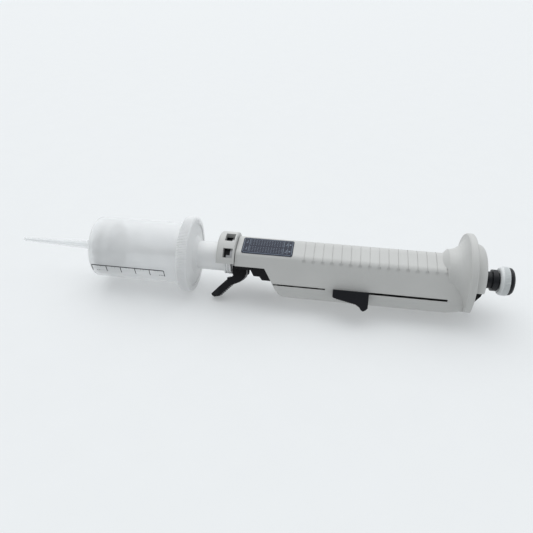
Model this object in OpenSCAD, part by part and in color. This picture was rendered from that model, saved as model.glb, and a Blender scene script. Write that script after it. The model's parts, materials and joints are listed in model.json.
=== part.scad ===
// Hand-held repeating dispenser (adjustable micropipette) with a 50 ml displacement tip.
// Every piece is drawn in the tool's own frame: X runs along the plunger axis from the
// nozzle to the stroke knob, +Z is the palm side and -Z the finger side, and X = 0 is the
// rear face of the tip's knurled ring. lie_down() then rolls the tool onto its rest pose,
// with the ring, the finger flange and the release lever touching Z = 0.

/* [Tip] */
// Outer radius of the tip's liquid barrel
barrel_r = 19.6; // [19:0.1:20]
// Wall of the liquid barrel
barrel_wall = 1.4; // [1.2:0.1:1.6]
// Length of the nozzle in front of the barrel
nozzle_len = 50; // [40:1:60]
// Radius of the knurled ring, which is also the height of the axis above the bench
ring_r = 24.5; // [24:0.1:25]
// Radius of the neck that enters the nose
neck_r = 9.2; // [8.8:0.1:9.4]

/* [Body] */
// Half width of the grip
grip_half_w = 14.5; // [14:0.1:15]
// Wall of the grip housing
housing_wall = 1.8; // [1.6:0.1:2]
// Radius of the finger flange
flange_r = 25.9; // [25.4:0.1:26]
// Radius of the nose collar
collar_r = 16.6; // [16.2:0.1:16.8]

/* [Mechanism] */
// Plunger travel, 50 ml at 9.6 mm for each 10 ml
plunger_travel = 48; // [40:1:48]
// Travel of the dispensing knob
press_travel = 4; // [3:0.5:4]

/* [Hidden] */
$fn = 72;

// roll about the axis at which the tool lies on the bench
bench_roll = -30;

// tip stations along X
barrel_front = -65;
barrel_rear = -2.4;
ring_front = -7;
nozzle_end = barrel_front - 5 - nozzle_len;
bore_r = barrel_r - barrel_wall;
piston_x = barrel_front + 3.2;
disc_x0 = 20.8;
disc_x1 = 25;

// body stations along X
collar_x0 = 16.7;
housing_x0 = 28.6;
recess_x1 = 47.5;
chin_x = 60;
slot_x0 = 92.5;
slot_x1 = 159;
flange_x0 = 169;
flange_x1 = 172.8;
cap_x1 = 180.2;
collar_x = 186.2;
dial_x0 = 190.2;
dial_x1 = 195.6;
knob_x1 = 199.3;

// levels in Z
side_edge_z = -4.95;
slot_z = -14.3;
sole_z = -22.2;
flange_z = (flange_r - ring_r) / cos(bench_roll);
flange_cut_z = -20.2;
cap_z = 2;
cap_cut_z = -8.3;

// rack
rack_x0 = 36;
rack_x1 = 110.5;
teeth_x0 = 57;
teeth_n = 53;
rack_top = 0.8;
rack_bottom = -4.2;
tooth_pitch = 1;

// release lever
lever_px = 30.6;
lever_pz = -7.4;
lever_w = 9;
lever_tip_z = -26.42;
pin_r = 1.2;

// filling slider
slider_x0 = 90.8;
slider_x1 = 112.4;
slider_out = 3.6;
hook_z = -25.2;

// the bounding box is centred on X and Y and stands on Z = 0
near_y = -(grip_half_w + slider_out) * cos(bench_roll) - hook_z * sin(bench_roll);
far_y = flange_r - flange_z * sin(bench_roll);
mid_x = (nozzle_end + knob_x1) / 2;
mid_y = (near_y + far_y) / 2;

module lie_down() {
  translate([-mid_x, -mid_y, ring_r]) rotate([bench_roll, 0, 0]) children();
}

// a profile of [radius, x] points turned about the axis, or about a parallel axis at height z
module spin(points, z = 0) {
  translate([0, 0, z]) rotate([0, 90, 0]) rotate_extrude() polygon(points);
}

// a cylinder along X from x0 to x1
module rod_x(r, x0, x1, y = 0, z = 0) {
  translate([x0, y, z]) rotate([0, 90, 0]) cylinder(r = r, h = x1 - x0);
}

// a cylinder along Y, centred on y = 0 unless placed
module rod_y(r, len, x, z, y = 0) {
  translate([x, y + len / 2, z]) rotate([90, 0, 0]) cylinder(r = r, h = len);
}

// a box from its two corners
module box(a, b) {
  translate(a) cube(b - a);
}

// an XZ outline given thickness in Y from y0 to y1
module side_plate(points, y0, y1) {
  translate([0, y1, 0]) rotate([90, 0, 0]) linear_extrude(y1 - y0) polygon(points);
}

// a YZ outline run along X from x0 to x1
module run_x(points, x0, x1) {
  translate([x0, 0, 0]) rotate([90, 0, 90]) linear_extrude(x1 - x0) polygon(points);
}

// points of an arc, from angle a to b
function arc(c, r, a, b, steps) =
  [for (i = [0:steps]) let (t = a + (b - a) * i / steps) [c[0] + r * cos(t), c[1] + r * sin(t)]];

// a closed outline around a ring of circles [y, z, r], counter-clockwise, grown by off
function normal_angle(p, q) =
  let (d = [q[0] - p[0], q[1] - p[1]], l = norm(d), k = (p[2] - q[2]) / l)
  atan2(d[1], d[0]) - 90 + asin(k);
function around(circles, off) =
  let (n = len(circles))
  [for (i = [0:n - 1])
    let (c = circles[i],
      a0 = normal_angle(circles[(i + n - 1) % n], c),
      a1r = normal_angle(c, circles[(i + 1) % n]),
      a1 = a1r < a0 ? a1r + 360 : a1r)
    each arc([c[0], c[1]], c[2] + off, a0, a1, 8)];

// grip section: two finger-side corners, two shoulder corners and the palm crown
sole_r = 9.5;
shoulder_r = 5;
crown_r = 8;
grip_circles = [
  [grip_half_w - sole_r, sole_z + sole_r, sole_r],
  [grip_half_w - shoulder_r, 1.5, shoulder_r],
  [0, 6.2, crown_r],
  [-(grip_half_w - shoulder_r), 1.5, shoulder_r],
  [-(grip_half_w - sole_r), sole_z + sole_r, sole_r]];
function grip(off) = around(grip_circles, off);

// a round wire wound into a helix along X: r coil radius, w wire radius
function ring_at(p, ax, ay, az, w, sides) =
  [for (i = [0:sides - 1]) let (t = 360 * i / sides)
    p + w * cos(t) * ay + w * sin(t) * az];
module coil_x(r, w, x0, x1, turns, y = 0, z = 0) {
  sides = 8;
  per_turn = 14;
  n = round(turns * per_turn);
  rings = [for (k = [0:n])
    let (t = 360 * k / per_turn,
      p = [x0 + w + (x1 - x0 - 2 * w) * k / n, y + r * cos(t), z + r * sin(t)])
    ring_at(p, [0, -sin(t), cos(t)], [1, 0, 0], [0, cos(t), sin(t)], w, sides)];
  points = [for (q = rings) each q];
  sidewalls = [for (k = [0:n - 1], i = [0:sides - 1]) let (j = (i + 1) % sides)
    [k * sides + i, k * sides + j, (k + 1) * sides + j, (k + 1) * sides + i]];
  near_end = [for (i = [sides - 1:-1:0]) i];
  far_end = [for (i = [0:sides - 1]) n * sides + i];
  polyhedron(points, concat(sidewalls, [near_end, far_end]));
}

// ---- the disposable tip ----

nozzle_root = barrel_front - 5;

module tip_nozzle() {
  color([0.93, 0.95, 0.96, 0.5]) spin([[0.6, nozzle_end], [1.3, nozzle_end],
    [3, nozzle_root - 1.5], [3.8, nozzle_root - 0.03], [1.75, nozzle_root - 0.03]]);
}

module tip_barrel() {
  bead_r = 22;
  seat_step = 0.5;
  corner = 2;
  color([0.93, 0.95, 0.96, 0.5]) spin(concat(
    [[1.75, nozzle_root], [4, nozzle_root], [barrel_r - corner - 0.2, barrel_front - 1.2]],
    [for (a = [-80:20:0]) [barrel_r - corner * (1 - cos(a)), barrel_front + 0.8 + corner * sin(a)]],
    [[barrel_r, ring_front - 0.1], [barrel_r - seat_step, ring_front - 0.1],
      [barrel_r - seat_step, -4.6], [bead_r, -4.6], [bead_r, barrel_rear], [bore_r, barrel_rear],
      [bore_r, barrel_front + 1.6], [3, barrel_front - 3]]));
}

module tip_piston() {
  head_r = bore_r - 0.1;
  color("white") spin([[0, barrel_front - 1.4], [3.2, barrel_front - 2], [head_r - 0.3, barrel_front + 2.6],
    [head_r, piston_x], [head_r, piston_x + 2], [head_r - 1, piston_x + 2.2],
    [head_r - 1, piston_x + 4], [head_r, piston_x + 4.2], [head_r, piston_x + 8],
    [head_r - 1.6, piston_x + 8], [head_r - 1.6, piston_x + 2.6], [6, piston_x + 2.6],
    [6, piston_x + 10], [3, piston_x + 10], [3, piston_x + 1], [0, piston_x + 1]]);
}

module piston_seal() {
  head_r = bore_r - 0.06;
  color("white") spin([[head_r - 0.98, piston_x + 2.3], [head_r, piston_x + 2.6],
    [head_r, piston_x + 3.6], [head_r - 0.98, piston_x + 3.9]]);
}

module piston_rod() {
  color("white") spin([[0, piston_x + 1.05], [2.95, piston_x + 1.05], [2.95, piston_x + 10.1],
    [4.6, piston_x + 10.1], [4.6, piston_x + 11], [3, piston_x + 11], [3, 27.9], [3.8, 28.4],
    [3.8, 31.4], [2.6, 32.2], [0, 32.2]]);
}

module adapter_ring() {
  ring_bore = barrel_r - 0.3;
  lip = 1.4;
  color([0.93, 0.94, 0.95, 0.7]) spin(concat(
    [[ring_bore, ring_front], [ring_r - lip, ring_front]],
    [for (a = [-60:30:0]) [ring_r - lip + lip * cos(a), ring_front + lip + lip * sin(a)]],
    [for (a = [0:30:60]) [ring_r - lip + lip * cos(a), -lip + lip * sin(a)]],
    [[ring_r - lip, 0], [20.6, 0], [20.6, -0.5], [22.2, -0.5], [22.2, -4.7], [ring_bore, -4.7]]));
}

module adapter_body() {
  rod_bore = 4.2;
  disc_r = 10.7;
  color([0.93, 0.94, 0.95, 0.7]) {
    spin([[rod_bore, -2.3], [22, -2.3], [22, -0.6], [20.4, -0.6], [neck_r + 3, 0.4], [neck_r, 2.6],
      [neck_r, disc_x0], [disc_r, disc_x0], [disc_r, disc_x0 + 0.9], [disc_r - 0.7, disc_x0 + 1.1],
      [disc_r - 0.7, disc_x0 + 1.7], [disc_r, disc_x0 + 1.9], [disc_r, disc_x0 + 2.5],
      [disc_r - 0.7, disc_x0 + 2.7], [disc_r - 0.7, disc_x0 + 3.2], [disc_r, disc_x0 + 3.4],
      [disc_r, disc_x1], [rod_bore, disc_x1]]);
  }
}

// ---- nose ----

window_at = [10, 52, 128, 170];

module nose_collar() {
  window = 6;
  bore = 13.6;
  boss_r = 10.6;
  color([0.72, 0.72, 0.71]) difference() {
    spin([[9.7, collar_x0], [collar_r - 1, collar_x0], [collar_r, collar_x0 + 1],
      [collar_r, 27.7], [collar_r - 0.5, 28.2], [boss_r, 28.2], [boss_r, 33], [7.2, 33],
      [7.2, 26.6], [bore, 26.6],
      [bore, 20], [9.7, 20]]);
    box([0, -20, -20], [40, 20, -4]);
    for (a = window_at) {
      tall = a < 30 || a > 150 ? window : window + 1.4;
      rotate([-a, 0, 0]) box([21, -20, -tall / 2], [21 + window, -11.8, tall / 2]);
    }
  }
}

// black sleeve between the tip's disc and the spring
module nose_liner() {
  color([0.06, 0.06, 0.07]) difference() {
    rod_x(12.8, 20.3, 26.3);
    rod_x(11.4, 20.2, 26.4);
    box([0, -20, -20], [40, 20, -3.2]);
  }
}

// sprung steel band around the tip's disc, seen through the windows of the collar
module grip_spring() {
  color("silver") difference() {
    rod_x(13.55, 20.3, 26.3);
    rod_x(12.9, 20.2, 26.4);
    box([0, -20, -20], [40, 20, -3.2]);
    for (a = window_at) {
      rotate([-a, 0, 0]) box([21.2, -15, -1], [25, -11, 5]);
      rotate([-a, 0, 0]) box([21.2, -15, -4], [22.6, -11, 5]);
    }
    for (a = [32, 90, 148])
      rotate([-a, 0, 0]) box([22.6, -14, -2], [27, -11, 2]);
  }
}

// ---- housing ----

recess = [[0, side_edge_z], [recess_x1, side_edge_z], [52.3, -12.5], [55.4, -18],
  [57.6, -20.8], [chin_x, sole_z], [chin_x, -40], [0, -40]];

module flange_flare() {
  fillet = 10;
  root_r = flange_r - fillet - 0.6;
  spin(concat([[0, flange_x0 - 14], [root_r - 4, flange_x0 - 14]],
    [for (a = [0:10:90]) [root_r + fillet - fillet * cos(a), flange_x0 - fillet + fillet * sin(a) - 0.4]],
    [[flange_r, flange_x0 + 0.4], [flange_r, flange_x1 - 0.6], [flange_r - 0.6, flange_x1],
      [0, flange_x1]]), flange_z);
}

module finger_flange() {
  color([0.72, 0.72, 0.71]) difference() {
    intersection() {
      flange_flare();
      box([0, -40, flange_cut_z], [flange_x1 + 5, 40, 40]);
    }
    run_x(grip(0.02), housing_x0, flange_x1 + 1);
  }
}

module housing_hollow() {
  intersection() {
    run_x(grip(-housing_wall), housing_x0 - 1, flange_x1 + 1);
    side_plate([[0, 40], [200, 40], [200, -18.2], [164, -18.2], [157, -20.4], [157, -40], [66, -40], [60.5, -20], [54.8, -12.5],
      [50, side_edge_z],
      [0, side_edge_z]], -30, 30);
  }
}

// one groove across the palm side, with a round thumb-nail end on each flank
ribs_x0 = 71.4;
ribs_n = 16;
rib_pitch = 5.7;
module rib_groove(x) {
  width = 0.5;
  depth = 0.35;
  intersection() {
    difference() {
      run_x(grip(2), x, x + width);
      run_x(grip(-depth), x - 1, x + width + 1);
    }
    box([x - 1, -30, 1.5], [x + 2, 30, 30]);
  }
  for (s = [-1, 1]) rod_y(1, 0.8, x + width / 2, 1.5, s * grip_half_w);
}

screw_posts = [for (x = [68, 84], y = [-8.5, 8.5]) [x, y]];

module housing() {
  post_r = 2.6;
  color([0.72, 0.72, 0.71]) difference() {
    union() {
      difference() {
        run_x(grip(0), housing_x0, flange_x1);
        housing_hollow();
      }
      intersection() {
        run_x(grip(-0.5), 60, 92);
        for (p = screw_posts)
          translate([p[0], p[1], sole_z + 1]) cylinder(r = post_r, h = -6.9 - sole_z - 1);
      }
    }
    side_plate(recess, -30, 30);
    side_plate([[159, sole_z - 0.01], [167, flange_cut_z], [flange_x1 + 1, flange_cut_z],
      [flange_x1 + 1, -40], [159, -40]], -30, 30);
    box([slot_x0, -20, slot_z - 0.65], [slot_x1, -10, slot_z + 0.65]);
    box([53.6, -20, slot_z - 0.45], [86, -12, slot_z + 0.45]);
    for (i = [0:ribs_n - 1])
      rib_groove(ribs_x0 + i * rib_pitch);
    for (p = screw_posts)
      translate([p[0], p[1], -14]) cylinder(r = 0.9, h = 8);
  }
}

module volume_label() {
  thick = 0.25;
  color([0.13, 0.18, 0.26]) intersection() {
    difference() {
      run_x(grip(thick), 32, 64.2);
      run_x(grip(0), 31, 65);
    }
    box([30, -20, 3.4], [66, -1.5, 20]);
  }
}

// ---- release lever ----

module lever_bracket() {
  cheek_in = lever_w / 2 + 0.35;
  cheek_out = cheek_in + 2.2;
  rail_y = 14.1;
  color([0.07, 0.07, 0.09]) difference() {
    union() {
      side_plate([[35.2, -5], [recess_x1 - 0.1, -5], [52, -12.3], [46.6, -12.3], [44.8, -10.2],
        [41.2, -10.2], [39, -6.7], [35.2, -6.7]], -rail_y, rail_y);
      for (s = [-1, 1]) {
        side_plate([[26.3, -5], [35.3, -5], [35.3, -10], [34.4, -11], [27, -11], [26.3, -10]],
          s > 0 ? cheek_in : -cheek_out, s > 0 ? cheek_out : -cheek_in);
        box([28.7, s > 0 ? cheek_in : -rail_y, -6.7], [35.3, s > 0 ? rail_y : -cheek_in, -5]);
      }
    }
    rod_y(pin_r, 40, lever_px, lever_pz);
  }
}

// outline of the lever: block round the pin, elbow, and an arm with finger teeth on its outer side
arm_dir = [-0.69, -0.724];
arm_teeth = 7;
tooth_step = 1.55;
lever_outline = concat(
  [[26.8, -7], [26.7, -11.2], [25.7, -12.4], [24.2, -12.9], [23.3, -12.8], [22.7, -13.4], [23, -14.1]],
  [[12.8, -24.6], [13.4, -25.7], [15.2, lever_tip_z], [17.2, -25.88]],
  [for (i = [0:arm_teeth - 1]) let (b = [18.4, -25.2] - arm_dir * tooth_step * i)
    each [b + [0.45, -0.2], b - arm_dir * tooth_step * 0.75]],
  [[26.8, -17.4], [29.8, -16], [32.4, -14.2], [34.1, -12.2], [34.8, -10.4], [34.6, -7]]);

module release_lever() {
  hub_r = 2.2;
  color([0.06, 0.07, 0.1]) difference() {
    union() {
      side_plate(lever_outline, -lever_w / 2, lever_w / 2);
      rod_y(hub_r, lever_w, lever_px, lever_pz);
    }
    rod_y(pin_r + 0.05, 20, lever_px, lever_pz);
    rod_y(2.6, 3.4, lever_px, lever_pz);
    // the tip is narrower, with its corners cut off
    for (s = [0, 1]) mirror([0, s, 0])
      translate([0, 0, -30]) linear_extrude(10)
        polygon([[10, 2.4], [13.4, 2.4], [18, lever_w / 2], [18, 9], [10, 9]]);
  }
}

module lever_pin() {
  color([0.2, 0.2, 0.21]) rod_y(pin_r - 0.01, lever_w + 0.7 + 4, lever_px, lever_pz);
}

module lever_spring() {
  translate([lever_px, 0, lever_pz]) rotate([0, 0, 90])
    color("silver") coil_x(1.75, 0.26, -1.5, 1.5, 3);
}

// ---- plunger train ----

rack_pin_z = -1.7;

module rod_coupler() {
  color([0.15, 0.15, 0.17]) difference() {
    rod_x(6.4, 26.9, 40);
    rod_x(3.9, 27.8, 32.4);
    rod_x(3.1, 26, 27.9);
    box([27.8, -3.9, -10], [32.4, 3.9, 0]);
    box([26, -3.1, -10], [27.9, 3.1, 0]);
    for (s = [-1, 1]) box([26, s > 0 ? 5.2 : -9, -10], [41, s > 0 ? 9 : -5.2, 10]);
    box([20, -10, -12], [50, 10, rack_bottom]);
    box([35.9, -3.1, rack_bottom - 1], [41, 3.1, rack_top + 0.02]);
    rod_y(0.8, 20, 38.2, rack_pin_z);
  }
}

module coupler_pin() {
  color("silver") rod_y(0.77, 10.2, 38.2, rack_pin_z);
}

module rack() {
  tooth_h = 1;
  color([0.85, 0.85, 0.83]) difference() {
    side_plate(concat(
    [[rack_x0, rack_bottom + 0.05], [rack_x1, rack_bottom + 0.05], [rack_x1, rack_top]],
    [for (i = [teeth_n - 1:-1:0]) let (x = teeth_x0 + i * tooth_pitch)
      each [[x + 0.98 * tooth_pitch, rack_top], [x + 0.9 * tooth_pitch, rack_top + tooth_h], [x, rack_top]]],
    [[rack_x0, rack_top]]), -3, 3);
    rod_y(0.8, 20, 38.2, rack_pin_z);
  }
}

link_x0 = 94;
link_x1 = 108;

pin_at = [97.5, 104.5];

module slide_link() {
  half = 0.5;
  color([0.15, 0.15, 0.17]) difference() {
    union() {
      box([link_x0, -3, slot_z - half], [link_x1, 3, rack_bottom + 0.05]);
      box([link_x0, -grip_half_w - 0.3, slot_z - half], [link_x1, -3, slot_z + half]);
    }
    for (x = pin_at) rod_y(0.35, 5, x, slot_z, -grip_half_w + 2.2);
  }
}

// thumb piece of the filling slide: a side cheek with a scooped lower edge and a hook at its
// rear end, with finger teeth along its lower side
module fill_slider() {
  gap = 0.35;
  teeth = 10;
  cheek = concat([[slider_x0, -13.6], [slider_x1, -13.6], [slider_x1, -23], [111.2, -24.4],
      [109.7, hook_z], [108.3, -24.4], [107.4, -23], [106.2, -22.2]],
    [for (i = [0:teeth - 1]) let (x = 105.2 - i * 1.3, z = -21.7 + i * 0.26)
      each [[x, z], [x - 0.5, z + 0.45]]],
    [[slider_x0 + 0.6, -18.6], [slider_x0, -18]]);
  color([0.05, 0.05, 0.06]) difference() {
    side_plate(cheek, -grip_half_w - slider_out, -grip_half_w - gap);
    for (x = pin_at) rod_y(0.35, 5, x, slot_z, -grip_half_w);
  }
}

module slider_pins() {
  color("silver") for (x = pin_at) rod_y(0.34, 6.6, x, slot_z, -grip_half_w + 0.9);
}

// ---- inner frame and drive ----

chassis_z = -4.3;
brake_x = 91.5;

module chassis() {
  color([0.1, 0.1, 0.12]) difference() {
    union() {
      box([53, -12.2, -6.8], [161.5, 12.2, chassis_z]);
      for (s = [-1, 1]) {
        box([55, s > 0 ? 5.4 : -6.5, -5.1], [88.6, s > 0 ? 6.5 : -5.4, 0.4]);
        box([149, s > 0 ? 5.4 : -10.4, -5.1], [151.8, s > 0 ? 10.4 : -5.4, 1.6]);
      }
      box([brake_x - 2.5, 4, -5.1], [brake_x + 2.5, 11, 0.4]);
    }
    box([slot_x0 - 1, -3.5, -10], [slot_x1 + 1, 3.5, 0]);
    rod_y(1.6, 7.6, brake_x, -2.2, 6.7);
    for (s = [-1, 1]) rod_x(1.13, 148, 153, s * 7.9, -1.6);
    for (p = screw_posts)
      translate([p[0], p[1], -10]) cylinder(r = 1, h = 8);
  }
}

module chassis_screws() {
  color("silver") for (p = screw_posts) translate([p[0], p[1], 0]) {
    translate([0, 0, -12]) cylinder(r = 0.88, h = 12 + chassis_z + 0.1);
    translate([0, 0, chassis_z + 0.02]) cylinder(r = 1.7, h = 1);
  }
}

module brake_shoe() {
  color([0.75, 0.6, 0.3]) union() {
    rod_y(1.5, 2.8, brake_x, -2.2, 4.45);
  }
}

module brake_spring() {
  translate([brake_x, 8.15, -2.2]) rotate([0, 0, 90])
    color("silver") coil_x(1.05, 0.22, -2.25, 2.25, 5);
}

carrier_x0 = 103.5;
plate_x0 = 166.5;
plate_x1 = 169.5;
pawl_x = 114.5;
pawl_z = 5.4;

module drive_carrier() {
  color([0.75, 0.75, 0.73]) difference() {
    union() {
      box([carrier_x0, -4, 3.6], [plate_x0 + 0.1, 4, 7.6]);
      box([plate_x0, -9.4, -6.6], [plate_x1, 9.4, 3.8]);
      box([plate_x0, -4, 3], [plate_x1, 4, 7.6]);
    }
    box([carrier_x0 + 2, -1.7, 0], [118.5, 1.7, 12]);
    rod_y(1, 20, pawl_x, pawl_z);
    rod_x(3.2, 160, 175);
  }
}

module drive_pawl() {
  color("silver") difference() {
    union() {
      rod_y(1.9, 3, pawl_x, pawl_z);
      side_plate([[pawl_x, pawl_z - 1.9], [109.2, 2], [108.2, 2], [108, 2.6], [110.5, 6.2],
        [pawl_x, pawl_z + 1.9]], -1.5, 1.5);
    }
    rod_y(1.04, 10, pawl_x, pawl_z);
  }
}

module pawl_pin() {
  color("silver") rod_y(0.98, 8, pawl_x, pawl_z);
}

module pawl_spring() {
  color("silver") side_plate([[105.6, 7.65], [118.4, 7.65], [118.4, 7.9], [105.6, 7.9]], -3, 3);
}

module return_spring(s) {
  color("silver") coil_x(1.9, 0.3, 151.85, 166.45, 9, s * 7.9, -1.6);
}

module spring_guides() {
  color("silver") for (s = [-1, 1]) rod_x(1.1, 149.6, 157.5, s * 7.9, -1.6);
}

// ---- rear end ----

module end_plate() {
  color([0.06, 0.06, 0.08]) difference() {
    union() {
      run_x(grip(-housing_wall - 0.12), 170.9, flange_x1 - 0.05);
      side_plate([[flange_x1 - 0.1, cap_cut_z - 0.2], [179.6, cap_cut_z - 0.2], [179, -10.2],
        [175.2, -14.2], [flange_x1 - 0.1, -15]], -9, 9);
    }
    rod_x(7, 165, 180);
    box([160, -30, -40], [180, 30, -18.08]);
  }
}

module stem_bush() {
  color([0.8, 0.65, 0.35]) difference() {
    rod_x(6.98, 170.9, flange_x1 - 0.05);
    rod_x(5.28, 165, 180);
  }
}

cap_r = 19.5;
cap_corner = 4.6;
cap_face = cap_x1 - cap_corner;
cap_outline = concat([[0, flange_x1], [cap_r, flange_x1]],
  [for (a = [0:15:75]) [cap_r - cap_corner * (1 - cos(a)), cap_face + cap_corner * sin(a)]],
  [[cap_r - cap_corner - 1, cap_x1], [0, cap_x1]]);

module end_cap() {
  inner = cap_r - 2;
  color([0.72, 0.72, 0.71]) difference() {
    spin(cap_outline, cap_z);
    difference() {
      spin([[0, 172], [inner, 172], [inner, cap_face], [inner - 3, cap_x1 - 1.6], [0, cap_x1 - 1.6]], cap_z);
      for (s = [-1, 1]) rod_x(2.4, flange_x1, cap_x1 - 1, s * 12.4, 5);
    }
    rod_x(5.28, 170, 190);
    for (s = [-1, 1]) {
      rod_x(0.95, 170, 190, s * 12.4, 5);
      rod_x(2, cap_x1 - 1.2, 190, s * 12.4, 5);
    }
    box([170, -30, -40], [190, 30, cap_cut_z]);
  }
}

module cap_screws() {
  color("silver") for (s = [-1, 1]) {
    rod_x(0.9, 173, cap_x1 - 1.1, s * 12.4, 5);
    rod_x(1.8, cap_x1 - 1.18, cap_x1 - 0.2, s * 12.4, 5);
  }
}

module stem() {
  color([0.05, 0.05, 0.06]) difference() {
    spin([[0, 165.4], [2.7, 165.4], [2.7, 166.4], [3.1, 166.4], [3.1, 169.6], [5.2, 169.6], [5.2, collar_x],
      [6.6, collar_x], [6.6, dial_x0 - 0.8], [5, dial_x0 - 0.4], [5, dial_x1 + 1.4], [0, dial_x1 + 1.4]]);
    rod_x(0.9, 160, 166.3);
  }
}

module stem_clip() {
  color("silver") difference() {
    rod_x(3.55, 165.9, 166.4);
    rod_x(2.72, 165, 167);
    box([160, -1.2, -8], [170, 1.2, 0]);
  }
}

// stepped face cam: nine shallow steps limit how far the knob can be pressed
module stroke_cam() {
  steps = 9;
  step_h = 0.08;
  color([0.8, 0.8, 0.78]) translate([cap_x1 - 1.7, 0, 0]) rotate([0, -90, 0]) {
    difference() {
      cylinder(r = 8, h = 1);
      translate([0, 0, -1]) cylinder(r = 5.22, h = 4);
    }
    for (i = [1:steps])
      rotate([0, 0, i * 36]) rotate_extrude(angle = 33)
        translate([5.8, 0.8]) square([1.9, 0.2 + i * step_h]);
  }
}

module knob_ring() {
  color([0.62, 0.64, 0.65]) spin([[5.05, dial_x0 + 0.3], [7.2, dial_x0], [7.9, dial_x0 + 0.2],
    [8.6, dial_x0 + 1], [8.9, dial_x0 + 2.2], [8.9, dial_x1 - 0.3], [8.6, dial_x1], [5.05, dial_x1]]);
}

module knob_cap() {
  color([0.05, 0.05, 0.06]) difference() {
    spin([[0, dial_x1 + 0.05], [8.3, dial_x1 + 0.05], [8.5, dial_x1 + 0.5], [8.3, dial_x1 + 1.8],
      [7.4, knob_x1 - 0.9], [5.6, knob_x1 - 0.2], [0, knob_x1]]);
    rod_x(5.02, 190, dial_x1 + 1.45);
  }
}

lie_down() tip_nozzle();
lie_down() tip_barrel();
lie_down() tip_piston();
lie_down() piston_seal();
lie_down() piston_rod();
lie_down() adapter_ring();
lie_down() adapter_body();
lie_down() nose_collar();
lie_down() nose_liner();
lie_down() grip_spring();
lie_down() housing();
lie_down() finger_flange();
lie_down() volume_label();
lie_down() lever_bracket();
lie_down() release_lever();
lie_down() lever_pin();
lie_down() lever_spring();
lie_down() rod_coupler();
lie_down() coupler_pin();
lie_down() rack();
lie_down() slide_link();
lie_down() fill_slider();
lie_down() slider_pins();
lie_down() chassis();
lie_down() chassis_screws();
lie_down() drive_carrier();
lie_down() drive_pawl();
lie_down() pawl_pin();
lie_down() pawl_spring();
lie_down() return_spring(-1);  // return_spring_near
lie_down() return_spring(1);  // return_spring_far
lie_down() spring_guides();
lie_down() brake_shoe();
lie_down() brake_spring();
lie_down() end_plate();
lie_down() stem_bush();
lie_down() end_cap();
lie_down() cap_screws();
lie_down() stem();
lie_down() stem_clip();
lie_down() stroke_cam();
lie_down() knob_ring();
lie_down() knob_cap();
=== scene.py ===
"""Looks for the hand-held repeating dispenser: materials, knurls, printing, floor, light and camera.

Lengths are millimetres in the tool's own frame (X along the plunger axis from the nozzle to the
knob, Z towards the palm side, X = 0 at the rear face of the knurled tip ring), and the matrix TOOL
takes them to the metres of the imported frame.
"""

import json
import math

import bpy
from mathutils import Euler, Matrix, Vector


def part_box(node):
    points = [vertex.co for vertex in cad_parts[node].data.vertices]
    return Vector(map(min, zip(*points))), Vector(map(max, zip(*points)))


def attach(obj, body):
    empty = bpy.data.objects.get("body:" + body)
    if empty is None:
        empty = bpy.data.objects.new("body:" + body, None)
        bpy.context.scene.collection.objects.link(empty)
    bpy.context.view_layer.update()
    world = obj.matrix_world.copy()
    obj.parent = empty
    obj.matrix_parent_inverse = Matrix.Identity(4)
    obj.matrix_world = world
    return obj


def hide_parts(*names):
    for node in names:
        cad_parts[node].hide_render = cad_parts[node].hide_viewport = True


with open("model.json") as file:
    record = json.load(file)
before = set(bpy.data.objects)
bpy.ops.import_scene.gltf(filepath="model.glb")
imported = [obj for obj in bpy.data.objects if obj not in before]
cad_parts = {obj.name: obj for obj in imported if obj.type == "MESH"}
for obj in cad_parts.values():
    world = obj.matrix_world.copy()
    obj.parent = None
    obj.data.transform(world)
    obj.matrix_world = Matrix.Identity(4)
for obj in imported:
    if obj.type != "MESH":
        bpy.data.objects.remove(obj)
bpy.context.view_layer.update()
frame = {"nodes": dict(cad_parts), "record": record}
nodes = frame["nodes"]

MM = 0.001
ROLL = math.radians(-30)
ring_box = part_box("adapter_ring")
knob_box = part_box("knob_ring")
AXIS_Y = (knob_box[0].y + knob_box[1].y) / 2
AXIS_Z = (knob_box[0].z + knob_box[1].z) / 2
TOOL = (Matrix.Translation((ring_box[1].x, AXIS_Y, AXIS_Z))
        @ Matrix.Rotation(ROLL, 4, "X") @ Matrix.Scale(MM, 4))

BARREL_R = frame["record"]["mounts"][0]["dims"]["r_mm"]
RING_R = 24.5
RING_FRONT = -7.0
RING_BORE = BARREL_R - 0.3
HALF_W = 14.5
SHOULDER_R, SHOULDER_Z = 5.0, 1.5
CROWN_R, CROWN_Z = 8.0, 6.2


# ---------------------------------------------------------------- materials

def new_material(name):
    mat = bpy.data.materials.new(name)
    mat.use_nodes = True
    tree = mat.node_tree
    shader = tree.nodes["Principled BSDF"]
    return mat, tree, shader


def add_noise(tree, scale, detail=3.0, distortion=0.0):
    coords = tree.nodes.new("ShaderNodeTexCoord")
    noise = tree.nodes.new("ShaderNodeTexNoise")
    noise.inputs["Scale"].default_value = scale
    noise.inputs["Detail"].default_value = detail
    noise.inputs["Distortion"].default_value = distortion
    tree.links.new(coords.outputs["Object"], noise.inputs["Vector"])
    return noise


def ramp(tree, source, low, high, start=0.3, end=0.7):
    node = tree.nodes.new("ShaderNodeValToRGB")
    node.color_ramp.elements[0].position = start
    node.color_ramp.elements[1].position = end
    node.color_ramp.elements[0].color = (*low, 1)
    node.color_ramp.elements[1].color = (*high, 1)
    tree.links.new(source, node.inputs["Fac"])
    return node


def span(tree, source, low, high):
    node = tree.nodes.new("ShaderNodeMapRange")
    node.inputs["To Min"].default_value = low
    node.inputs["To Max"].default_value = high
    tree.links.new(source, node.inputs["Value"])
    return node


def bump(tree, shader, source, strength, distance):
    node = tree.nodes.new("ShaderNodeBump")
    node.inputs["Strength"].default_value = strength
    node.inputs["Distance"].default_value = distance
    tree.links.new(source, node.inputs["Height"])
    tree.links.new(node.outputs["Normal"], shader.inputs["Normal"])


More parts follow.
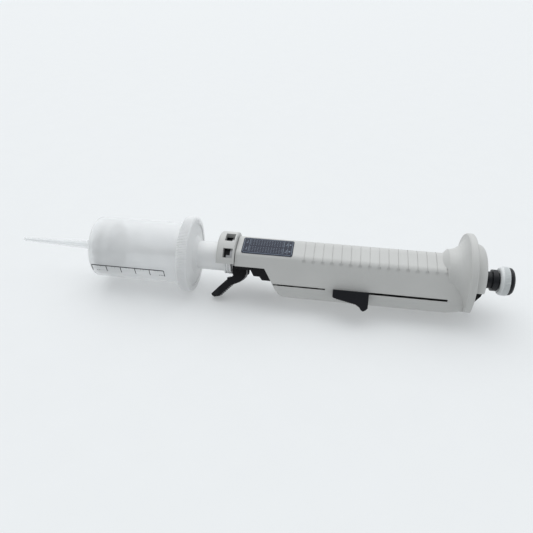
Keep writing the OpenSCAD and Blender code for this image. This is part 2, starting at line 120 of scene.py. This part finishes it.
def moulded(name, colour, rough, spread=0.04, grain=2600, depth=0.00002, specular=0.5):
    """A moulded plastic: faint cloudy tone, rougher patches and a fine eroded grain."""
    mat, tree, shader = new_material(name)
    cloud = add_noise(tree, 45)
    dark = tuple(c * (1 - spread) for c in colour)
    light = tuple(min(1, c * (1 + spread)) for c in colour)
    tree.links.new(ramp(tree, cloud.outputs["Fac"], dark, light).outputs["Color"],
                   shader.inputs["Base Color"])
    patch = add_noise(tree, 160)
    tree.links.new(span(tree, patch.outputs["Fac"], rough - 0.07, rough + 0.07).outputs["Result"],
                   shader.inputs["Roughness"])
    fine = add_noise(tree, grain, 2)
    bump(tree, shader, fine.outputs["Fac"], 0.35, depth)
    shader.inputs["Specular IOR Level"].default_value = specular
    return mat


def frosted(name, colour, alpha, rough, thin=0.08):
    """Translucent moulding: milky, a little clearer in places, softly glossy."""
    mat, tree, shader = new_material(name)
    cloud = add_noise(tree, 30)
    tree.links.new(ramp(tree, cloud.outputs["Fac"], tuple(c * 0.97 for c in colour), colour)
                   .outputs["Color"], shader.inputs["Base Color"])
    streak = add_noise(tree, 18, 2, 1.5)
    tree.links.new(span(tree, streak.outputs["Fac"], alpha - thin, alpha + thin).outputs["Result"],
                   shader.inputs["Alpha"])
    fine = add_noise(tree, 900, 2)
    tree.links.new(span(tree, fine.outputs["Fac"], rough - 0.05, rough + 0.05).outputs["Result"],
                   shader.inputs["Roughness"])
    bump(tree, shader, fine.outputs["Fac"], 0.2, 0.00003)
    shader.inputs["Subsurface Weight"].default_value = 0.25
    shader.inputs["Subsurface Radius"].default_value = (0.004, 0.004, 0.004)
    shader.inputs["Subsurface Scale"].default_value = 1.0
    return mat


def metal(name, colour, rough, stretch):
    """Drawn or turned metal with fine lines across its grain."""
    mat, tree, shader = new_material(name)
    coords = tree.nodes.new("ShaderNodeTexCoord")
    mapping = tree.nodes.new("ShaderNodeMapping")
    mapping.inputs["Scale"].default_value = stretch
    noise = tree.nodes.new("ShaderNodeTexNoise")
    noise.inputs["Scale"].default_value = 900
    tree.links.new(coords.outputs["Object"], mapping.inputs["Vector"])
    tree.links.new(mapping.outputs["Vector"], noise.inputs["Vector"])
    tree.links.new(ramp(tree, noise.outputs["Fac"], tuple(c * 0.85 for c in colour), colour)
                   .outputs["Color"], shader.inputs["Base Color"])
    tree.links.new(span(tree, noise.outputs["Fac"], rough - 0.1, rough + 0.12).outputs["Result"],
                   shader.inputs["Roughness"])
    bump(tree, shader, noise.outputs["Fac"], 0.25, 0.00002)
    shader.inputs["Metallic"].default_value = 1.0
    return mat


SHELL = moulded("grey_shell", (0.56, 0.56, 0.545), 0.46, 0.025)
BLACK = moulded("black_polymer", (0.005, 0.0055, 0.008), 0.4, 0.25, 1800, 0.00003, 0.32)
# A darker, duller copy of the black polymer: its extra darkness is painted shade for the black parts sunk
# inside the housing and seen through the collar windows.
SHADED_BLACK = moulded("black_painted_shade", (0.004, 0.004, 0.005), 0.5, 0.3, 1500, 0.00003, 0.28)
WHITE = moulded("white_polymer", (0.86, 0.86, 0.85), 0.4, 0.02)
ACETAL = moulded("acetal", (0.68, 0.68, 0.64), 0.38, 0.03)
DIAL = moulded("knob_grey", (0.74, 0.76, 0.76), 0.42, 0.03)
LABEL = moulded("label_blue", (0.007, 0.012, 0.032), 0.35, 0.12, 800, 0.00001, 0.3)
LABEL_INK = moulded("label_ink", (0.20, 0.25, 0.32), 0.45, 0.1)
PRINT = moulded("scale_print", (0.012, 0.013, 0.015), 0.5, 0.2)
FROST = frosted("frosted_polymer", (0.96, 0.97, 0.975), 0.48, 0.34)
FROST_THIN = frosted("frosted_nozzle", (0.92, 0.935, 0.94), 0.32, 0.34)
ADAPTER = frosted("adapter_polymer", (0.97, 0.975, 0.975), 0.76, 0.42, 0.05)
STEEL = metal("steel", (0.60, 0.60, 0.61), 0.32, (1, 12, 12))
BRASS = metal("brass", (0.72, 0.52, 0.22), 0.35, (12, 1, 1))

MATERIAL_OF = {
    "frosted_polymer": FROST, "adapter_polymer": ADAPTER, "white_polymer": WHITE,
    "grey_shell": SHELL, "black_polymer": BLACK, "blue_label": LABEL, "knob_grey": DIAL,
    "acetal": ACETAL, "steel": STEEL, "brass": BRASS,
}
SMOOTH_LIMIT = math.radians(35)
for part in frame["record"]["subparts"]:
    shown = nodes[part["node"]]
    shown.data.materials.clear()
    shown.data.materials.append(MATERIAL_OF[part["material_slot"]])
    shown.data.shade_smooth()
    shown.data.set_sharp_from_angle(angle=SMOOTH_LIMIT)
# The sunk chassis, lever bracket and end plate take the darker copy of black as painted shade.
for name in ("chassis", "lever_bracket", "end_plate"):
    nodes[name].data.materials[0] = SHADED_BLACK
nodes["tip_nozzle"].data.materials[0] = FROST_THIN


# ---------------------------------------------------------------- mesh helpers

def make_piece(name, points, faces, material, body, replaces=(), smooth=True):
    mesh = bpy.data.meshes.new(name)
    mesh.from_pydata([TOOL @ Vector(p) for p in points], [], faces)
    mesh.materials.append(material)
    mesh.validate()
    if smooth:
        mesh.shade_smooth()
        mesh.set_sharp_from_angle(angle=SMOOTH_LIMIT)
    obj = bpy.data.objects.new(name, mesh)
    bpy.context.scene.collection.objects.link(obj)
    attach(obj, body)
    if replaces:
        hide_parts(*replaces)
    return obj


def turned(name, profile, sides, radius_at, material, body, replaces=()):
    """A closed ring turned about the tool axis. profile is a loop of (x, r) points, wound so that
    the faces look outwards, and radius_at(x, r, k) may lift or sink the point on spoke k."""
    points, faces = [], []
    count = len(profile)
    for k in range(sides):
        turn = 2 * math.pi * k / sides
        for x, r in profile:
            rr = radius_at(x, r, k)
            points.append((x, rr * math.cos(turn), rr * math.sin(turn)))
    for k in range(sides):
        here, there = k * count, ((k + 1) % sides) * count
        for i in range(count):
            j = (i + 1) % count
            faces.append((here + i, there + i, there + j, here + j))
    return make_piece(name, points, faces, material, body, replaces)


def arc(cx, cr, rx, rr, start, end, steps):
    """Points (x, r) along an elliptical arc."""
    return [(cx + rx * math.cos(math.radians(start + (end - start) * i / steps)),
             cr + rr * math.sin(math.radians(start + (end - start) * i / steps)))
            for i in range(steps + 1)]


# ---------------------------------------------------------------- knurled ring of the tip

RING_TEETH = 150
RING_KNURL = 0.42
LIP = 1.4


def ring_radius(x, r, k):
    """Sinks the grooves of the knurl into the rim, running out on the rounded edges."""
    if r < RING_R - LIP + 0.2:
        return r
    depth = (0, 0.55, 1, 0.55)[k % 4] * RING_KNURL
    return r - depth * min(1, (r - (RING_R - LIP)) / LIP)


ring_profile = (
    [(RING_FRONT, RING_BORE), (RING_FRONT, RING_R - LIP)]
    + arc(RING_FRONT + LIP, RING_R - LIP, LIP, LIP, 150, 90, 3)
    + arc(-LIP, RING_R - LIP, LIP, LIP, 90, 30, 3)
    + [(0, RING_R - LIP), (0, 20.6), (-0.5, 20.6), (-0.5, 22.2), (-4.7, 22.2), (-4.7, RING_BORE)])
turned("ring_knurled", ring_profile, RING_TEETH * 4, ring_radius, ADAPTER,
       "grip_and_barrel", ["adapter_ring"])

# ---------------------------------------------------------------- stroke dial

DIAL_TEETH = 60
DIAL_X0, DIAL_X1 = ((corner.x - ring_box[1].x) / MM for corner in knob_box)
DIAL_KNURL_X = DIAL_X0 + 2.0
DIAL_BORE = 5.05


def dial_radius(x, r, k):
    """Ribs with gaps between them on the rear part of the rim, plain in front of it."""
    if x < DIAL_KNURL_X or x > DIAL_X1 - 0.25 or r < 8:
        return r
    return r - (0.0, 0.0, 0.45, 0.55, 0.45, 0.0)[k % 6]


dial_profile = (
    [(DIAL_X0 + 0.3, DIAL_BORE), (DIAL_X0, 7.2), (DIAL_X0 + 0.2, 7.9), (DIAL_X0 + 0.6, 8.3),
     (DIAL_X0 + 1.1, 8.62), (DIAL_KNURL_X - 0.25, 8.85), (DIAL_KNURL_X + 0.05, 8.9),
     (DIAL_X0 + 3.6, 8.9), (DIAL_X1 - 0.45, 8.9), (DIAL_X1 - 0.2, 8.8), (DIAL_X1, 8.6),
     (DIAL_X1, DIAL_BORE)])
turned("dial_knurled", dial_profile, DIAL_TEETH * 6, dial_radius, DIAL,
       "stroke_knob", ["knob_ring"])

# ---------------------------------------------------------------- printing on curved faces

PRINT_LIFT = 0.03
PRINT_THICK = 0.03


def print_patch(name, surface, marks, material, body="grip_and_barrel", replaces=(),
                lift=PRINT_LIFT, thick=PRINT_THICK, step=1.0):
    """Thin printed marks on a curved face. surface(u, v, h) gives the tool point at height h over
    the face, and each mark is (u0, u1, v0, v1), cut into strips no wider than step across v."""
    points, faces = [], []
    for u0, u1, v0, v1 in marks:
        strips = max(1, math.ceil(abs(v1 - v0) / step))
        first = len(points)
        for i in range(strips + 1):
            v = v0 + (v1 - v0) * i / strips
            points += [surface(u0, v, lift), surface(u1, v, lift),
                       surface(u1, v, lift + thick), surface(u0, v, lift + thick)]
        for i in range(strips):
            a = first + 4 * i
            b = a + 4
            for j in range(4):
                k = (j + 1) % 4
                faces.append((a + j, a + k, b + k, b + j))
        faces.append((first + 3, first + 2, first + 1, first))
        last = first + 4 * strips
        faces.append((last, last + 1, last + 2, last + 3))
    return make_piece(name, points, faces, material, body, replaces, smooth=False)


def on_barrel(u, v, h):
    """u along X, v millimetres round the barrel from the near flank towards the palm side."""
    turn = v / BARREL_R
    return (u, -(BARREL_R + h) * math.cos(turn), (BARREL_R + h) * math.sin(turn))


SCALE_X0, SCALE_STEP, SCALE_MARKS = -64.2, 9.6, 6
SCALE_DROP = 12.1
SCALE_V = -BARREL_R * math.asin(SCALE_DROP / BARREL_R)
TICK_LEN, TICK_HALF = 5.2, 0.25
LINE_HALF = 0.35
MINOR_LEN, MINOR_HALF = 1.2, 0.08
DASH_LEN = 0.75
scale_end = SCALE_X0 + SCALE_STEP * (SCALE_MARKS - 1)
scale_marks = [(SCALE_X0, scale_end, SCALE_V - LINE_HALF, SCALE_V + LINE_HALF)]
for i in range(SCALE_MARKS):
    x = SCALE_X0 + SCALE_STEP * i
    scale_marks.append((x - TICK_HALF, x + TICK_HALF, SCALE_V - TICK_LEN, SCALE_V))
for i in range(1, SCALE_MARKS):
    for part in (0.4, 0.6):
        x = SCALE_X0 + SCALE_STEP * (i - part)
        scale_marks.append((x - MINOR_HALF, x + MINOR_HALF, SCALE_V - MINOR_LEN, SCALE_V))
for i in (0.28, 0.42, 4.62, 4.78, 4.92):
    x = SCALE_X0 + SCALE_STEP * i
    scale_marks.append((x, x + DASH_LEN, SCALE_V - 4.6, SCALE_V - 4.1))
print_patch("barrel_scale", on_barrel, scale_marks, PRINT)
print_patch("barrel_index", on_barrel, [(-21.5, -16.8, 29.5, 30.3)], LABEL_INK)


# The grip's outline over the palm: flank, shoulder arc, straight facet and crown arc
def grip_outline(off, steps=14):
    """Points (y, z) of the near half of the palm side, from the flank up to the crown's top."""
    shoulder_y = -(HALF_W - SHOULDER_R)
    dy, dz = -shoulder_y, CROWN_Z - SHOULDER_Z
    reach = math.hypot(dy, dz)
    along = math.atan2(dz, dy)
    lean = math.asin((SHOULDER_R - CROWN_R) / reach)
    facet = along + math.pi / 2 - lean
    points = [(-HALF_W - off, SHOULDER_Z - 1)]
    for i in range(steps + 1):
        a = math.pi + (facet - math.pi) * i / steps
        points.append((shoulder_y + (SHOULDER_R + off) * math.cos(a),
                       SHOULDER_Z + (SHOULDER_R + off) * math.sin(a)))
    for i in range(steps + 1):
        a = facet + (math.pi / 2 - facet) * i / steps
        points.append(((CROWN_R + off) * math.cos(a), CROWN_Z + (CROWN_R + off) * math.sin(a)))
    return points


LABEL_OUTLINE = grip_outline(0)
LABEL_LENGTHS = [0.0]
for a, b in zip(LABEL_OUTLINE, LABEL_OUTLINE[1:]):
    LABEL_LENGTHS.append(LABEL_LENGTHS[-1] + math.dist(a, b))


def on_grip(u, v, h):
    """u along X, v millimetres round the palm side from just below the near shoulder."""
    i = 0
    while i < len(LABEL_OUTLINE) - 2 and LABEL_LENGTHS[i + 1] < v:
        i += 1
    (y0, z0), (y1, z1) = LABEL_OUTLINE[i], LABEL_OUTLINE[i + 1]
    length = LABEL_LENGTHS[i + 1] - LABEL_LENGTHS[i]
    t = (v - LABEL_LENGTHS[i]) / length
    ny, nz = -(z1 - z0) / length, (y1 - y0) / length
    return (u, y0 + (y1 - y0) * t + ny * h, z0 + (z1 - z0) * t + nz * h)


LABEL_X0, LABEL_X1 = 32.0, 64.2
LABEL_V0, LABEL_V1 = 3.2, 17.6
LABEL_CORNER = 1.3


def label_sheet():
    """The blue film: strips across v, shortened near both edges so that its corners are round."""
    strips = 40
    marks = []
    for i in range(strips):
        v0 = LABEL_V0 + (LABEL_V1 - LABEL_V0) * i / strips
        v1 = LABEL_V0 + (LABEL_V1 - LABEL_V0) * (i + 1) / strips
        edge = min((v0 + v1) / 2 - LABEL_V0, LABEL_V1 - (v0 + v1) / 2)
        inset = 0.0
        if edge < LABEL_CORNER:
            inset = LABEL_CORNER - math.sqrt(LABEL_CORNER ** 2 - (LABEL_CORNER - edge) ** 2)
        marks.append((LABEL_X0 + inset, LABEL_X1 - inset, v0, v1))
    return marks


def label_marks():
    """A pale frame, header columns at both ends, two groups of rows and short generic dashes."""
    edge, line = 0.7, 0.22
    x0, x1 = LABEL_X0 + edge, LABEL_X1 - edge
    v0, v1 = LABEL_V0 + edge, LABEL_V1 - edge
    marks = [(x0 + 0.6, x1 - 0.6, v0, v0 + line), (x0 + 0.6, x1 - 0.6, v1 - line, v1),
             (x0, x0 + line, v0 + 0.6, v1 - 0.6), (x1 - line, x1, v0 + 0.6, v1 - 0.6)]
    columns = 13
    left, right = x0 + 3.6, x1 - 5.4
    middle = (v0 + v1) / 2
    rows = 4
    for lo, hi in ((v0 + 0.9, middle - 0.5), (middle + 0.5, v1 - 0.9)):
        for x in (left, right, right + 2.6):
            marks.append((x - line / 2, x + line / 2, lo, hi))
        pitch = (hi - lo) / rows
        for r in range(rows):
            v = lo + pitch * (r + 0.5)
            for c in range(columns):
                x = left + (right - left) * (c + 0.5) / columns
                width = 0.6 if (c * 7 + r * 5) % 3 else 0.95
                marks.append((x - width / 2, x + width / 2, v - pitch * 0.24, v - pitch * 0.1))
                if (c + 2 * r) % 3:
                    marks.append((x - width / 2, x - width / 2 + 0.2, v - pitch * 0.24, v + pitch * 0.2))
        for x in (x0 + 1.3, right + 1.0):
            marks.append((x, x + 1.0, (lo + hi) / 2 - 1.1, (lo + hi) / 2 - 0.7))
            marks.append((x + 0.7, x + 1.0, (lo + hi) / 2 - 1.1, (lo + hi) / 2 + 1.1))
        marks.append((right + 3.4, right + 4.4, (lo + hi) / 2 - 0.5, (lo + hi) / 2 + 0.5))
    return marks


print_patch("label_film", on_grip, label_sheet(), LABEL,
            replaces=["volume_label"], lift=0.01, thick=0.2, step=0.4)
print_patch("label_print", on_grip, label_marks(), LABEL_INK,
            lift=0.215, thick=0.03, step=0.5)

# ---------------------------------------------------------------- floor, light and camera

FLOOR_HALF = 12.0
FLOOR_GLOW = 0.28
floor_mesh = bpy.data.meshes.new("floor")
floor_mesh.from_pydata([(-FLOOR_HALF, -FLOOR_HALF, 0), (FLOOR_HALF, -FLOOR_HALF, 0),
                        (FLOOR_HALF, FLOOR_HALF, 0), (-FLOOR_HALF, FLOOR_HALF, 0)], [], [(0, 1, 2, 3)])
floor = bpy.data.objects.new("floor", floor_mesh)
bpy.context.scene.collection.objects.link(floor)
sheet = moulded("floor_sheet", (0.52, 0.53, 0.535), 0.6, 0.006, 300, 0.00002, 0.2)
glow = sheet.node_tree.nodes["Principled BSDF"].inputs
glow["Emission Color"].default_value = (0.97, 0.99, 1.0, 1)
glow["Emission Strength"].default_value = FLOOR_GLOW
floor_mesh.materials.append(sheet)

# The sky is brightest above and behind the tool, and falls off towards the camera's side
SKY_TOWARD = (0.0, 0.6, 0.8)
SKY_LOW, SKY_HIGH = 0.20, 0.92
SUN_ENERGY, SUN_ANGLE, SUN_TILT = 1.35, 80, (-22, -8)

world = bpy.data.worlds.new("studio")
bpy.context.scene.world = world
world.use_nodes = True
background = world.node_tree.nodes["Background"]
background.inputs["Color"].default_value = (0.93, 0.97, 1.0, 1)
sky = world.node_tree
direction = sky.nodes.new("ShaderNodeTexCoord")
toward = sky.nodes.new("ShaderNodeVectorMath")
toward.operation = "DOT_PRODUCT"
toward.inputs[1].default_value = SKY_TOWARD
sky.links.new(direction.outputs["Generated"], toward.inputs[0])
fall = span(sky, toward.outputs["Value"], SKY_LOW, SKY_HIGH)
fall.inputs["From Min"].default_value = -0.6
fall.inputs["From Max"].default_value = 1.0
sky.links.new(fall.outputs["Result"], background.inputs["Strength"])

sun_data = bpy.data.lights.new("overhead", "SUN")
sun_data.energy = SUN_ENERGY
sun_data.angle = math.radians(SUN_ANGLE)
sun = bpy.data.objects.new("overhead", sun_data)
sun.rotation_euler = Euler((math.radians(SUN_TILT[0]), math.radians(SUN_TILT[1]), 0))
bpy.context.scene.collection.objects.link(sun)

CAMERA_YAW, CAMERA_ELEVATION, CAMERA_ROLL = (math.radians(a) for a in (8.32, 31.98, 0.70))
CAMERA_FROM_RING = (0.09078, -0.30090, 0.20962)
CAMERA_AT = Vector((ring_box[1].x + CAMERA_FROM_RING[0], AXIS_Y + CAMERA_FROM_RING[1], CAMERA_FROM_RING[2]))
CAMERA_LENS = 37.24
back = Vector((math.sin(CAMERA_YAW) * math.cos(CAMERA_ELEVATION),
               -math.cos(CAMERA_YAW) * math.cos(CAMERA_ELEVATION), math.sin(CAMERA_ELEVATION)))
level = Vector((math.cos(CAMERA_YAW), math.sin(CAMERA_YAW), 0))
upright = back.cross(level)
right = math.cos(CAMERA_ROLL) * level + math.sin(CAMERA_ROLL) * upright
up = back.cross(right)
camera_data = bpy.data.cameras.new("camera")
camera_data.lens = CAMERA_LENS
camera_data.sensor_width = 36
camera_data.clip_start = 0.01
camera = bpy.data.objects.new("camera", camera_data)
camera.matrix_world = Matrix.Translation(CAMERA_AT) @ Matrix((right, up, back)).transposed().to_4x4()
bpy.context.scene.collection.objects.link(camera)
bpy.context.scene.camera = camera
bpy.context.scene.view_settings.view_transform = "Standard"
